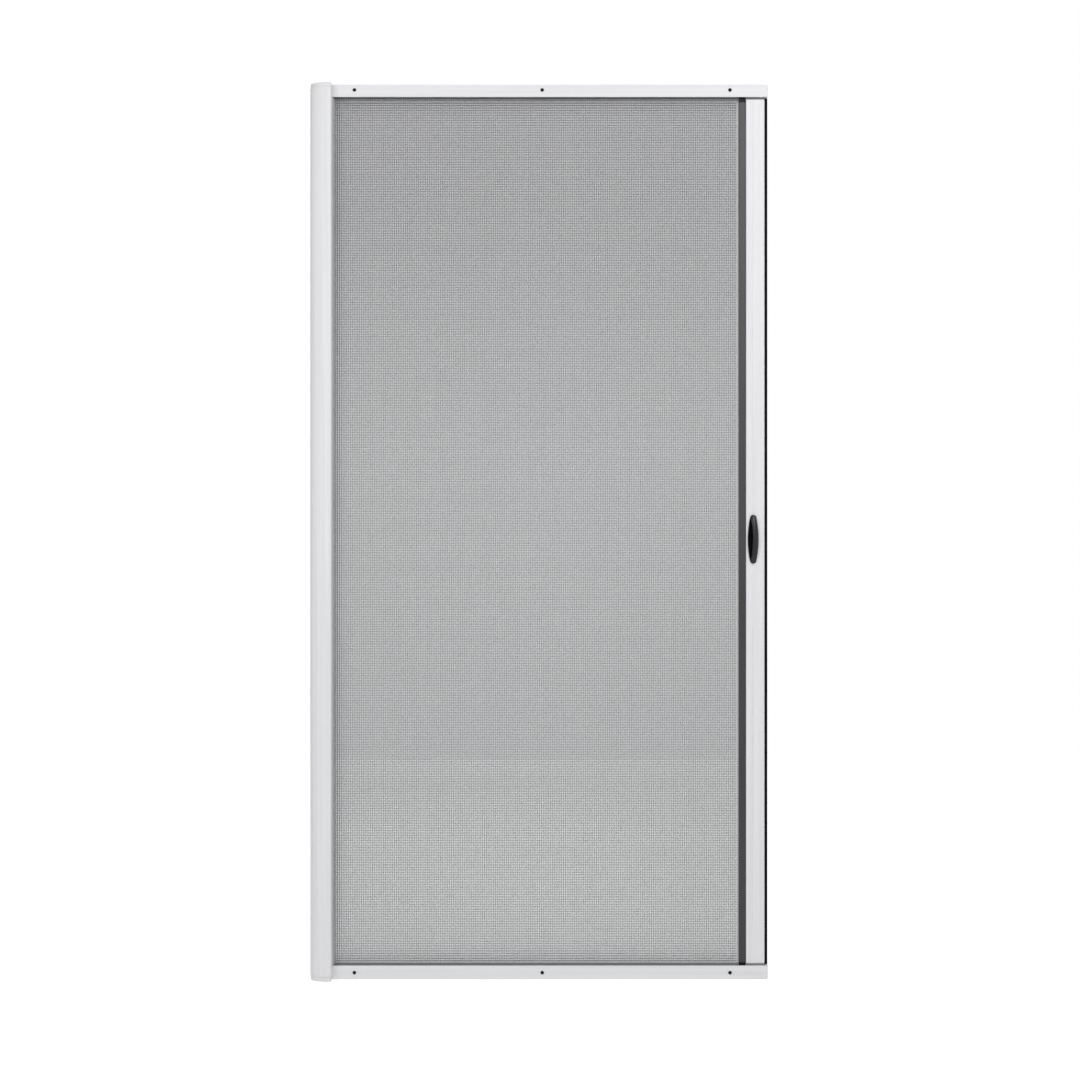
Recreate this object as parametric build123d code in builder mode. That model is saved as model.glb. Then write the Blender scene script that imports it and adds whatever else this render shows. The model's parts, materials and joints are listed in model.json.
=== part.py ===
"""Retractable screen door: a roller housing, two tracks, a rolled screen and its sliding pull bar.

Millimetres. +X runs from the roller housing to the closing jamb, +Y into the wall and +Z up.
The wall plane is y = 0, x = 0 is the middle of the width and z = 0 the underside of the sill.
"""

import os

from build123d import *

# Overall size of the installed unit
door_width = 1039.0
door_height = 2032.0

# Roller housing: an aluminium extrusion, rounded towards the room, with a moulded cap at each end
housing_width = 51.0
housing_depth = 50.0
housing_wall = 1.5
nose_reach = 43.0
nose_depth = 24.0
doorway_corner_radius = 5.0
cap_height = 11.0
cap_plug_depth = 7.0
cap_plug_wall = 3.0
cap_edge_radius = 2.5
cap_inset = 1.0
cap_seam_inset = 1.8
cap_seam_height = 0.8
fit_clearance = 0.2

# Slot in the housing for the screen, with a flange and a brush along both of its edges
slot_half_width = 5.0
flange_length = 5.0
flange_thickness = 1.2
brush_back_thickness = 1.0
brush_back_width = 6.0
brush_reach = 5.5
brush_root_width = 3.6
brush_tip_width = 1.2
brush_screen_gap = 0.4

# Screen and its roller
screen_thickness = 0.4
screen_edge_gap = 1.6
screen_glide_gap = 0.6
screen_opening_columns = 8
screen_opening_rows = 17
screen_opening_share = 0.56
tube_radius = 12.5
tube_wall = 2.4
tube_keyway_radius = 1.6
tube_keyway_count = 3
wound_thickness = 1.2
wound_screen_gap = 0.3
roller_axis_offset = 26.0
roller_end_gap = 2.0
plug_flange_thickness = 2.0
plug_depth = 14.0
plug_core_radius = 3.2
pin_radius = 3.0
pin_seat_depth = 6.0

# Tracks: extrusions with a closed screw chamber and an open channel towards the doorway
track_depth = 26.0
top_track_height = 27.5
bottom_track_height = 31.0
track_wall = 1.4
track_corner_radius = 0.8
channel_depth = 10.6
mouth_rib = 1.2
inner_rib = 1.0
rib_height = 1.8
pile_back_width = 4.8
pile_back_thickness = 1.0
pile_tuft_width = 3.4
pile_glide_gap = 0.6
end_plug_plate = 5.0
end_plug_tongue = 10.0
sill_plug_corner_radius = 4.5
top_plug_corner_radius = 1.0
housing_tongue = 10.0

# Screw holes through both walls of the chamber, a row of three along each track
screw_count = 3
screw_margin_housing = 49.0
screw_margin_end = 86.0
screw_line_from_doorway = 15.5
screw_hole_radius = 2.25

# Pull bar: a hollow extrusion between the two tracks
bar_width = 42.0
bar_depth = 13.0
bar_wall = 1.4
bar_corner_radius = 2.0
bar_end_gap = 5.0
bar_groove_from_edge = 14.4
bar_groove_width = 2.4
bar_groove_depth = 1.2
bar_web = 5.0
bar_cap_plate = 1.5
bar_cap_plug_depth = 10.0
bar_cap_plug_wall = 1.5

# T-shaped slots in both edges of the bar, and the tongues that slide into them
tee_mouth = 3.2
tee_pocket_width = 6.4
tee_pocket_depth = 2.4
tee_clearance = 0.2

# Screen retainer, its spline, and the magnetic seal on the other edge
retainer_width = 16.4
retainer_thickness = 7.0
retainer_edge_radius = 1.2
spline_radius = 1.6
spline_from_edge = 5.0
slit_width = 0.9
seal_width = 6.6
seal_thickness = 9.0
seal_edge_radius = 0.8
seal_end_gap = 2.0

# Glides at both ends of the retainer: a block, a neck between the piles and a shoe in the channel
top_glide_drop = 10.0
bottom_glide_drop = 5.5
glide_block_thickness = 8.0
glide_block_gap = 3.0
glide_neck_thickness = 4.4
glide_shoe_depth = 20.0
glide_shoe_thickness = 2.6
glide_edge_radius = 0.8
glide_pad_gap = 0.5

# Pulls on both faces of the bar: bowed sides, round tips, and a finger hollow on the screen's side
handle_width = 24.5
handle_height = 111.0
handle_tip_radius = 7.0
handle_below_middle = 18.0
handle_from_bar_edge = 16.1
handle_flange = 1.5
handle_flange_ledge = 0.9
handle_edge_share = 0.42
handle_edge_radius = 0.8
front_handle_rise = 12.0
rear_handle_rise = 5.0
hollow_wall = 1.6
hollow_floor = 2.0
hollow_ridge_offset = 0.8
hollow_ridge_bow = 5.7
hollow_half_length = 49.0
undercut_roof = 2.4
undercut_half_length = 40.0
undercut_past_ridge = 4.6

# Planes and edges that several pieces share
left_x = -door_width / 2
right_x = door_width / 2
housing_x = left_x + housing_width
screen_y = -track_depth / 2
bottom_lip_z = bottom_track_height
top_lip_z = door_height - top_track_height
bar_right_x = right_x - seal_width
bar_left_x = bar_right_x - bar_width
bar_x = (bar_left_x + bar_right_x) / 2
retainer_x = bar_left_x - retainer_width
bar_bottom_z = bottom_lip_z + bar_end_gap
bar_top_z = top_lip_z - bar_end_gap
bar_front_y = screen_y - bar_depth / 2
bar_back_y = screen_y + bar_depth / 2
groove_x = bar_left_x + bar_groove_from_edge
handle_x = bar_left_x + handle_from_bar_edge
handle_z = (bar_bottom_z + bar_top_z) / 2 - handle_below_middle
cap_top_z = door_height - cap_height
roller_x = left_x + roller_axis_offset
wound_radius = tube_radius + wound_thickness
roller_y = screen_y - screen_thickness / 2 - wound_screen_gap - wound_radius
spline_x = retainer_x + spline_from_edge
pile_reach = track_depth / 2 - track_wall - glide_neck_thickness / 2 - pile_glide_gap
plug_plate_x = right_x - end_plug_plate
screen_low_z = bottom_lip_z - channel_depth + screen_edge_gap
screen_high_z = top_lip_z + channel_depth - screen_edge_gap
retainer_low_z = bottom_lip_z + bottom_glide_drop
retainer_high_z = top_lip_z - top_glide_drop
bar_body_low_z = bar_bottom_z + bar_cap_plate
bar_body_high_z = bar_top_z - bar_cap_plate


def save(part, name):
    """Label one finished piece and write it as its own file."""
    part.label = name
    export_step(part, f"parts/{name}.step")


def box_between(low, high):
    """A sketch rectangle between two corners."""
    with Locations(((low[0] + high[0]) / 2, (low[1] + high[1]) / 2)):
        Rectangle(abs(high[0] - low[0]), abs(high[1] - low[1]))


def housing_outline(inset):
    """The housing's plan outline, drawn inside its outer skin by inset."""
    left, right = left_x + inset, housing_x - inset
    front = -(housing_depth - inset)
    nose_centre = (left_x + nose_reach, -(housing_depth - nose_depth))
    corner_centre = (housing_x - doorway_corner_radius, -(housing_depth - doorway_corner_radius))
    corner_radius = doorway_corner_radius - inset
    with BuildSketch() as outline:
        with BuildLine():
            Line((left, -inset), (left, nose_centre[1]))
            EllipticalCenterArc(
                nose_centre, nose_reach - inset, nose_depth - inset, start_angle=180, arc_size=90
            )
            Line((nose_centre[0], front), (corner_centre[0], front))
            CenterArc(corner_centre, corner_radius, 270, 90)
            Polyline((right, corner_centre[1]), (right, -inset), (left, -inset))
        make_face()
    return outline.sketch


def brush_outline(side):
    """Slot brush in plan; side is -1 for the room side and +1 for the wall side."""
    root_y = screen_y + side * slot_half_width
    back_y = root_y - side * brush_back_thickness
    tip_y = screen_y + side * (screen_thickness / 2 + brush_screen_gap)
    back_low = housing_x - housing_wall - flange_length
    back_high = back_low + brush_back_width
    tip_x = housing_x + brush_reach
    with BuildSketch() as outline:
        with BuildLine():
            Polyline(
                (back_low, root_y),
                (back_high, root_y),
                (back_high, back_y),
                (tip_x, tip_y + side * brush_tip_width / 2),
                (tip_x - brush_tip_width, tip_y),
                (back_high - brush_root_width, back_y),
                (back_low, back_y),
                close=True,
            )
        make_face()
    return outline.sketch


def tee_outline(edge_x, inwards):
    """Tongue that fills the bar's slot at edge_x; inwards is the direction into the bar."""
    neck = tee_mouth / 2 - tee_clearance
    head = tee_pocket_width / 2 - tee_clearance
    head_start = edge_x + inwards * (bar_wall + tee_clearance)
    head_end = edge_x + inwards * (bar_wall + tee_pocket_depth - tee_clearance)
    with BuildSketch() as outline:
        box_between((edge_x, screen_y - neck), (head_start, screen_y + neck))
        box_between((head_start, screen_y - head), (head_end, screen_y + head))
    return outline.sketch


def track_outline(height, lip_z, outwards):
    """Track section across its length; outwards is +1 for the top track and -1 for the sill."""
    outer_z = lip_z + outwards * height
    chamber_start = lip_z + outwards * (channel_depth + track_wall)
    with BuildSketch() as outline:
        box_between((-track_depth, lip_z), (0, outer_z))
        outer_corners = outline.vertices().group_by(Axis.Y)[-1 if outwards > 0 else 0]
        fillet(outer_corners, track_corner_radius)
        with BuildSketch(mode=Mode.SUBTRACT):
            inner = (-track_depth + track_wall, -track_wall)
            box_between((inner[0], chamber_start), (inner[1], outer_z - outwards * track_wall))
            box_between((inner[0], lip_z), (inner[1], lip_z + outwards * channel_depth))
        rib_starts = (0, mouth_rib + pile_back_width)
        for start, thickness in zip(rib_starts, (mouth_rib, inner_rib)):
            low, high = lip_z + outwards * start, lip_z + outwards * (start + thickness)
            box_between((inner[0], low), (inner[0] + rib_height, high))
            box_between((inner[1] - rib_height, low), (inner[1], high))
    return outline.sketch


def pile_outline(lip_z, outwards, side):
    """Pile strip of a track; side is -1 on the room side of the channel and +1 on the wall side."""
    wall_y = screen_y + side * (track_depth / 2 - track_wall)
    back_y = wall_y - side * pile_back_thickness
    tip_y = wall_y - side * pile_reach
    low = lip_z + outwards * mouth_rib
    high = low + outwards * pile_back_width
    middle = (low + high) / 2
    with BuildSketch() as outline:
        box_between((wall_y, low), (back_y, high))
        box_between((back_y, middle - pile_tuft_width / 2), (tip_y, middle + pile_tuft_width / 2))
    return outline.sketch


def build_housing():
    """Housing extrusion with the screen slot and the two brush flanges beside it."""
    inner_x = housing_x - housing_wall
    with BuildPart() as housing:
        with BuildSketch(Plane.XY.offset(cap_height)):
            add(housing_outline(0))
            add(housing_outline(housing_wall), mode=Mode.SUBTRACT)
            with BuildSketch(mode=Mode.SUBTRACT):
                box_between(
                    (inner_x, screen_y - slot_half_width), (housing_x, screen_y + slot_half_width)
                )
            for side in (-1, 1):
                edge = screen_y + side * slot_half_width
                box_between((inner_x - flange_length, edge), (inner_x, edge + side * flange_thickness))
        extrude(amount=cap_top_z - cap_height)
    save(housing.part, "housing")

    for side, name in ((-1, "slot_brush_front"), (1, "slot_brush_rear")):
        with BuildPart() as brush:
            with BuildSketch(Plane.XY.offset(bottom_lip_z)):
                add(brush_outline(side))
            extrude(amount=top_lip_z - bottom_lip_z)
        save(brush.part, name)


def build_housing_cap(name, outer_z, upwards):
    """Moulded end cap: a plate over a narrow seam, a hollow plug and a tongue into the track."""
    seam_z = outer_z - upwards * cap_height
    tongue_half = track_depth / 2 - track_wall - fit_clearance
    tongue_low = outer_z - upwards * (track_wall + fit_clearance)
    with BuildPart() as cap:
        with BuildSketch(Plane.XY.offset(seam_z)):
            add(housing_outline(cap_seam_inset))
        extrude(amount=upwards * cap_seam_height)
        with BuildSketch(Plane.XY.offset(seam_z + upwards * cap_seam_height)):
            add(housing_outline(cap_inset))
        extrude(amount=upwards * (cap_height - cap_seam_height))
        outer_edges = cap.faces().sort_by(Axis.Z)[-1 if upwards > 0 else 0].edges()
        room_edges = outer_edges.filter_by(lambda edge: edge.center().Y < -cap_inset - fit_clearance)
        fillet(room_edges, cap_edge_radius)
        with BuildSketch(Plane.XY.offset(seam_z)):
            add(housing_outline(housing_wall + fit_clearance))
            add(housing_outline(housing_wall + cap_plug_wall), mode=Mode.SUBTRACT)
            with BuildSketch(mode=Mode.SUBTRACT):
                reach = slot_half_width + flange_thickness + fit_clearance
                box_between(
                    (housing_x - housing_width / 2, screen_y - reach), (housing_x, screen_y + reach)
                )
        extrude(amount=-upwards * cap_plug_depth)
        with BuildSketch(Plane.YZ.offset(housing_x - cap_seam_inset)):
            box_between((-track_depth, seam_z), (-cap_inset, outer_z))
        extrude(amount=cap_seam_inset)
        with BuildSketch(Plane.YZ.offset(housing_x)):
            box_between((screen_y - tongue_half, tongue_low), (screen_y + tongue_half, seam_z))
        extrude(amount=housing_tongue)
        with BuildSketch(Plane.XY.offset(seam_z)):
            with Locations((roller_x, roller_y)):
                Circle(pin_radius + fit_clearance)
        extrude(amount=upwards * pin_seat_depth, mode=Mode.SUBTRACT)
    save(cap.part, name)


def build_roller():
    """Keyed roller tube with its end plugs, steel pins and the turns of screen left on it."""
    low_z = cap_height + roller_end_gap
    high_z = cap_top_z - roller_end_gap
    tube_low = low_z + plug_flange_thickness
    tube_high = high_z - plug_flange_thickness
    tube_bore = tube_radius - tube_wall
    keyways = PolarLocations(tube_radius, tube_keyway_count)
    with BuildPart() as tube:
        with BuildSketch(Plane.XY.offset(tube_low)):
            with Locations((roller_x, roller_y)):
                Circle(tube_radius)
                with keyways:
                    Circle(tube_keyway_radius, mode=Mode.SUBTRACT)
                Circle(tube_bore, mode=Mode.SUBTRACT)
        extrude(amount=tube_high - tube_low)
    save(tube.part, "roller_tube")

    with BuildPart() as wound:
        with BuildSketch(Plane.XY.offset(screen_low_z)):
            with Locations((roller_x, roller_y)):
                Circle(wound_radius)
                Circle(tube_radius, mode=Mode.SUBTRACT)
        extrude(amount=screen_high_z - screen_low_z)
    save(wound.part, "wound_screen")

    for end, start_z, inwards in (("bottom", low_z, 1), ("top", high_z, -1)):
        shoulder_z = start_z + inwards * plug_flange_thickness
        with BuildPart() as plug:
            with BuildSketch(Plane.XY.offset(start_z)):
                with Locations((roller_x, roller_y)):
                    Circle(tube_radius)
            extrude(amount=inwards * plug_flange_thickness)
            with BuildSketch(Plane.XY.offset(shoulder_z)):
                with Locations((roller_x, roller_y)):
                    Circle(tube_bore - fit_clearance)
            extrude(amount=inwards * plug_depth)
            with BuildSketch(Plane.XY.offset(start_z)):
                with Locations((roller_x, roller_y)):
                    Circle(plug_core_radius)
            extrude(amount=inwards * (plug_flange_thickness + plug_depth), mode=Mode.SUBTRACT)
        save(plug.part, f"roller_{end}_plug")

        seat_z = start_z - inwards * (roller_end_gap + pin_seat_depth - fit_clearance)
        pin_length = abs(shoulder_z + inwards * plug_depth - seat_z)
        with BuildPart() as pin:
            with BuildSketch(Plane.XY.offset(seat_z)):
                with Locations((roller_x, roller_y)):
                    Circle(pin_radius)
            extrude(amount=inwards * pin_length)
        save(pin.part, f"roller_{end}_pin")


def build_track(end, height, lip_z, outwards, plug_corner_radius):
    """One track with its screw holes, its two pile strips and the end plug at the closing jamb."""
    outer_z = lip_z + outwards * height
    screw_z = lip_z + outwards * screw_line_from_doorway
    pitch = (right_x - housing_x - screw_margin_housing - screw_margin_end) / (screw_count - 1)
    first_x = housing_x + screw_margin_housing
    screws = [(first_x + pitch * index, screw_z) for index in range(screw_count)]
    length = plug_plate_x - housing_x
    with BuildPart() as track:
        with BuildSketch(Plane.YZ.offset(housing_x)):
            add(track_outline(height, lip_z, outwards))
        extrude(amount=length)
        with BuildSketch(Plane.XZ.offset(track_depth)):
            with Locations(*screws):
                Circle(screw_hole_radius)
        extrude(amount=-track_depth, mode=Mode.SUBTRACT)
    save(track.part, f"{end}_track")

    for side, place in ((-1, "front"), (1, "rear")):
        with BuildPart() as pile:
            with BuildSketch(Plane.YZ.offset(housing_x)):
                add(pile_outline(lip_z, outwards, side))
            extrude(amount=length)
        save(pile.part, f"{end}_track_{place}_pile")

    tongue_margin = track_wall + fit_clearance
    tongue_start = lip_z + outwards * (channel_depth + tongue_margin)
    with BuildPart() as plug:
        with BuildSketch(Plane.YZ.offset(plug_plate_x)):
            box_between((-track_depth, lip_z), (0, outer_z))
        extrude(amount=end_plug_plate)
        outer_edges = plug.edges().filter_by(Axis.Y).group_by(Axis.Z)[-1 if outwards > 0 else 0]
        fillet(outer_edges.sort_by(Axis.X)[-1], plug_corner_radius)
        with BuildSketch(Plane.YZ.offset(plug_plate_x)):
            box_between(
                (-track_depth + tongue_margin, tongue_start),
                (-tongue_margin, outer_z - outwards * tongue_margin),
            )
        extrude(amount=-end_plug_tongue)
    save(plug.part, f"{end}_track_end_plug")


def build_screen():
    """Screen cloth from the roller to its retainer, with a plain grid in place of its fine mesh."""
    glide_x = retainer_x - screen_glide_gap
    end_x = spline_x - spline_radius - fit_clearance
    clear_width = glide_x - housing_x - brush_reach
    clear_height = top_lip_z - bottom_lip_z
    pitch_x = clear_width / screen_opening_columns
    pitch_z = clear_height / screen_opening_rows
    with BuildPart() as screen:
        with BuildSketch(Plane.XZ.offset(-screen_y - screen_thickness / 2)):
            box_between((roller_x, screen_low_z), (glide_x, screen_high_z))
            box_between((glide_x, retainer_low_z), (end_x, retainer_high_z))
            with BuildSketch(mode=Mode.SUBTRACT):
                with Locations((glide_x - clear_width / 2, bottom_lip_z + clear_height / 2)):
                    with GridLocations(pitch_x, pitch_z, screen_opening_columns, screen_opening_rows):
                        Rectangle(pitch_x * screen_opening_share, pitch_z * screen_opening_share)
        extrude(amount=screen_thickness)
    save(screen.part, "screen_mesh")


def bar_chambers():
    """The two hollows of the bar, as pairs of low and high x."""
    left = bar_left_x + 2 * bar_wall + tee_pocket_depth
    right = bar_right_x - 2 * bar_wall - tee_pocket_depth
    return (left, groove_x - bar_web / 2), (groove_x + bar_web / 2, right)


def build_bar():
    """Pull bar extrusion: two hollows, a web behind the front groove and a T-slot in each edge."""
    inner_y = (bar_front_y + bar_wall, bar_back_y - bar_wall)
    with BuildPart() as bar:
        with BuildSketch(Plane.XY.offset(bar_body_low_z)):
            with Locations((bar_x, screen_y)):
                RectangleRounded(bar_width, bar_depth, bar_corner_radius)
            with BuildSketch(mode=Mode.SUBTRACT):
                for low_x, high_x in bar_chambers():
                    box_between((low_x, inner_y[0]), (high_x, inner_y[1]))
                with Locations((groove_x, bar_front_y)):
                    Rectangle(bar_groove_width, 2 * bar_groove_depth)
                for edge_x, inwards in ((bar_left_x, 1), (bar_right_x, -1)):
                    pocket_x = edge_x + inwards * bar_wall
                    pocket_end = pocket_x + inwards * tee_pocket_depth
                    mouth, pocket = tee_mouth / 2, tee_pocket_width / 2
                    box_between((edge_x, screen_y - mouth), (pocket_x, screen_y + mouth))
                    box_between((pocket_x, screen_y - pocket), (pocket_end, screen_y + pocket))
        extrude(amount=bar_body_high_z - bar_body_low_z)
    save(bar.part, "pull_bar")

    for end, seat_z, outwards in (("bottom", bar_body_low_z, -1), ("top", bar_body_high_z, 1)):
        with BuildPart() as cap:
            with BuildSketch(Plane.XY.offset(seat_z)):
                with Locations((bar_x, screen_y)):
                    RectangleRounded(bar_width, bar_depth, bar_corner_radius)
            extrude(amount=outwards * bar_cap_plate)
            with BuildSketch(Plane.XY.offset(seat_z)):
                for low_x, high_x in bar_chambers():
                    gap = fit_clearance
                    box_between((low_x + gap, inner_y[0] + gap), (high_x - gap, inner_y[1] - gap))
                    with BuildSketch(mode=Mode.SUBTRACT):
                        gap += bar_cap_plug_wall
                        box_between(
                            (low_x + gap, inner_y[0] + gap), (high_x - gap, inner_y[1] - gap)
                        )
            extrude(amount=-outwards * bar_cap_plug_depth)
        save(cap.part, f"bar_{end}_cap")


def build_retainer():
    """Screen retainer with its spline, and the magnetic seal on the bar's other edge."""
    length = retainer_high_z - retainer_low_z
    tongue_low = max(retainer_low_z, bar_body_low_z)
    tongue_high = min(retainer_high_z, bar_body_high_z)
    with BuildPart() as retainer:
        with BuildSketch(Plane.XY.offset(retainer_low_z)):
            with Locations(((retainer_x + bar_left_x) / 2, screen_y)):
                RectangleRounded(retainer_width, retainer_thickness, retainer_edge_radius)
            with BuildSketch(mode=Mode.SUBTRACT):
                with Locations((spline_x, screen_y)):
                    Circle(spline_radius + tee_clearance)
                half_slit = slit_width / 2
                box_between((retainer_x, screen_y - half_slit), (spline_x, screen_y + half_slit))
        extrude(amount=length)
        with BuildSketch(Plane.XY.offset(tongue_low)):
            add(tee_outline(bar_left_x, 1))
        extrude(amount=tongue_high - tongue_low)
    save(retainer.part, "screen_retainer")

    with BuildPart() as spline:
        with BuildSketch(Plane.XY.offset(retainer_low_z)):
            with Locations((spline_x, screen_y)):
                Circle(spline_radius)
        extrude(amount=length)
    save(spline.part, "screen_spline")

    with BuildPart() as seal:
        with BuildSketch(Plane.XY.offset(bottom_lip_z + seal_end_gap)):
            with Locations(((bar_right_x + right_x) / 2, screen_y)):
                RectangleRounded(seal_width, seal_thickness, seal_edge_radius)
        extrude(amount=top_lip_z - bottom_lip_z - 2 * seal_end_gap)
        with BuildSketch(Plane.XY.offset(bar_body_low_z)):
            add(tee_outline(bar_right_x, -1))
        extrude(amount=bar_body_high_z - bar_body_low_z)
    save(seal.part, "magnetic_seal")


def build_glide(end, lip_z, drop, outwards):
    """Moulded glide: a block on the retainer's end, a neck through the piles and a wide shoe."""
    start_z = lip_z - outwards * drop
    shoe_z = lip_z + outwards * (mouth_rib + pile_back_width + inner_rib + glide_pad_gap)
    middle_x = (retainer_x + bar_left_x) / 2
    key_end = lip_z - outwards * (bar_end_gap + bar_cap_plate)
    with BuildPart() as glide:
        with BuildSketch(Plane.XY.offset(start_z)):
            with Locations((middle_x, screen_y)):
                RectangleRounded(retainer_width, glide_block_thickness, glide_edge_radius)
        extrude(amount=outwards * (drop - glide_block_gap))
        with BuildSketch(Plane.XY.offset(start_z)):
            with Locations((middle_x, screen_y)):
                Rectangle(retainer_width - 2 * glide_edge_radius, glide_neck_thickness)
        extrude(amount=shoe_z - start_z)
        with BuildSketch(Plane.XY.offset(shoe_z)):
            with Locations((middle_x, screen_y)):
                RectangleRounded(retainer_width, glide_shoe_depth, glide_edge_radius)
        extrude(amount=outwards * glide_shoe_thickness)
        if (key_end - start_z) * outwards > fit_clearance:
            with BuildSketch(Plane.XY.offset(start_z)):
                add(tee_outline(bar_left_x, 1))
            extrude(amount=key_end - start_z)
    save(glide.part, f"{end}_glide")


def pull_outline(inset):
    """Outline of a hand pull about its middle, drawn inside its edge by inset."""
    half_width = handle_width / 2 - inset
    tip_radius = handle_tip_radius - inset
    tip_y = handle_height / 2 - handle_tip_radius
    side_radius = (half_width**2 + tip_y**2 - tip_radius**2) / (2 * (half_width - tip_radius))
    share = tip_radius / (side_radius - tip_radius)
    touch_x, touch_y = (side_radius - half_width) * share, tip_y * (1 + share)
    end_y = tip_y + tip_radius
    with BuildSketch() as outline:
        with BuildLine():
            ThreePointArc((touch_x, -touch_y), (half_width, 0), (touch_x, touch_y))
            ThreePointArc((touch_x, touch_y), (0, end_y), (-touch_x, touch_y))
            ThreePointArc((-touch_x, touch_y), (-half_width, 0), (-touch_x, -touch_y))
            ThreePointArc((-touch_x, -touch_y), (0, -end_y), (touch_x, -touch_y))
        make_face()
    return outline.sketch


def finger_hollow(rise):
    """Hollow of a pull that lies flat on XY: an open lens beside the ridge, undercut below it."""
    ridge_radius = (hollow_half_length**2 + hollow_ridge_bow**2) / (2 * hollow_ridge_bow)
    roof = undercut_roof * rise / front_handle_rise
    undercut_half_rise = (rise - hollow_floor - roof) / 2
    undercut_half_width = undercut_past_ridge + hollow_ridge_bow
    globe = scale(
        Sphere(1, mode=Mode.PRIVATE),
        by=(undercut_half_width, undercut_half_length, undercut_half_rise),
    )
    centre = (-hollow_ridge_offset - hollow_ridge_bow, 0, hollow_floor + undercut_half_rise)
    with BuildPart() as undercut:
        with BuildSketch(Plane.XY.offset(hollow_floor)):
            add(pull_outline(hollow_wall))
        extrude(amount=2 * undercut_half_rise)
        add(Pos(*centre) * globe, mode=Mode.INTERSECT)
    with BuildPart() as hollow:
        with BuildSketch(Plane.XY.offset(hollow_floor)):
            add(pull_outline(hollow_wall))
            with Locations((-hollow_ridge_offset - ridge_radius, 0)):
                Circle(ridge_radius, mode=Mode.INTERSECT)
        extrude(amount=rise)
        add(undercut.part)
    return hollow.part


def build_handle(name, face_y, outwards, rise):
    """Hand pull: a thin flange and a domed body, hollowed from the screen's side."""
    edge_reach = (1 - handle_edge_share**2) ** 0.5
    corner_y = handle_height / 2 - handle_tip_radius
    dome_half_length = handle_height / 2 / edge_reach
    corner_share = (1 - (corner_y / dome_half_length) ** 2) ** 0.5
    dome_half_width = max(handle_width / 2, handle_tip_radius / corner_share) / edge_reach
    dome = scale(Sphere(1, mode=Mode.PRIVATE), by=(dome_half_width, dome_half_length, rise))
    hollow = finger_hollow(rise)
    with BuildPart() as handle:
        with BuildSketch():
            add(pull_outline(handle_flange_ledge))
        extrude(amount=rise)
        add(dome, mode=Mode.INTERSECT)
        fillet(handle.edges().filter_by(lambda edge: edge.center().Z > handle_flange), handle_edge_radius)
        with BuildSketch():
            add(pull_outline(0))
        extrude(amount=handle_flange)
        add(hollow, mode=Mode.SUBTRACT)
    seat = Plane((handle_x, face_y, handle_z), x_dir=(1, 0, 0), z_dir=(0, outwards, 0))
    save(seat.location * handle.part, name)


os.makedirs("parts", exist_ok=True)
build_housing()
build_housing_cap("housing_bottom_cap", 0, -1)
build_housing_cap("housing_top_cap", door_height, 1)
build_roller()
build_track("bottom", bottom_track_height, bottom_lip_z, -1, sill_plug_corner_radius)
build_track("top", top_track_height, top_lip_z, 1, top_plug_corner_radius)
build_screen()
build_bar()
build_retainer()
build_glide("bottom", bottom_lip_z, bottom_glide_drop, -1)
build_glide("top", top_lip_z, top_glide_drop, 1)
build_handle("front_handle", bar_front_y, -1, front_handle_rise)
build_handle("rear_handle", bar_back_y, 1, rear_handle_rise)
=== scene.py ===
"""Retractable screen door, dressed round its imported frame: finishes, screen cloth, piles and screws."""

import json
import math

import bmesh
import bpy
import numpy as np
from bpy.props import FloatProperty, FloatVectorProperty, IntProperty, PointerProperty
from mathutils import Matrix, Vector


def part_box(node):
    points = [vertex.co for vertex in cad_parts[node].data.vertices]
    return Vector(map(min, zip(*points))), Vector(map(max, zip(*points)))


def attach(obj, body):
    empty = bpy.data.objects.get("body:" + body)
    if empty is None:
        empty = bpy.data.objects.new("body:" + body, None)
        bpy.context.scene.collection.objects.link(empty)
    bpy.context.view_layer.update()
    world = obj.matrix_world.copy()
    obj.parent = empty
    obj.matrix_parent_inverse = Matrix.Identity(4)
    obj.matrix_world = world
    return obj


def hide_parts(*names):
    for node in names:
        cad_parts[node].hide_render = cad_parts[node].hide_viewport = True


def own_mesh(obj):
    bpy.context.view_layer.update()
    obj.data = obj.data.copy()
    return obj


bl_info = {
    "name": "Retractable Screen Door",
    "version": (1, 0, 0),
    "blender": (4, 5, 0),
    "location": "View3D > Sidebar > Screen Door",
    "description": "Finishes, screen cloth, piles, screws and studio for a retractable screen door",
    "category": "Object",
}

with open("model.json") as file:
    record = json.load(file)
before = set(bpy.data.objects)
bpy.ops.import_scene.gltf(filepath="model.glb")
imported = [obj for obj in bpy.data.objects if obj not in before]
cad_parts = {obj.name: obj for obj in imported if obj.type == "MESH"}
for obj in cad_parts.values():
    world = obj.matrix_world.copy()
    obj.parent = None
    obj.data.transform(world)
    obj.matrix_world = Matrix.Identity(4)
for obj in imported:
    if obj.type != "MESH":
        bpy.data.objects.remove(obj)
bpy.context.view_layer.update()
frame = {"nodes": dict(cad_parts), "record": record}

MM = 0.001
INCH = 0.0254
# A Mix node's colour sockets have the names of its number sockets, so they go by number.
MIX_SHARE, MIX_FIRST, MIX_SECOND, MIX_RESULT = 0, 6, 7, 2
# Noise seldom leaves this range, so a pattern is spread from one end of it to the other.
NOISE_LOW, NOISE_HIGH = 0.3, 0.7
MOUNTS = {mount["name"]: mount for mount in frame["record"]["mounts"]}


def linear(hex_colour):
    """The linear RGB of an sRGB hex colour."""
    values = [int(hex_colour[start:start + 2], 16) / 255 for start in (1, 3, 5)]
    return tuple(v / 12.92 if v <= 0.04045 else ((v + 0.055) / 1.055) ** 2.4 for v in values)


def colour(label, hex_colour, description):
    """A colour property that a user can change."""
    return FloatVectorProperty(
        name=label, description=description, default=linear(hex_colour),
        subtype="COLOR", size=3, min=0, max=1,
    )


def length(label, metres, description):
    """A length property that a user can change."""
    return FloatProperty(name=label, description=description, default=metres, unit="LENGTH", min=0)


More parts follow.
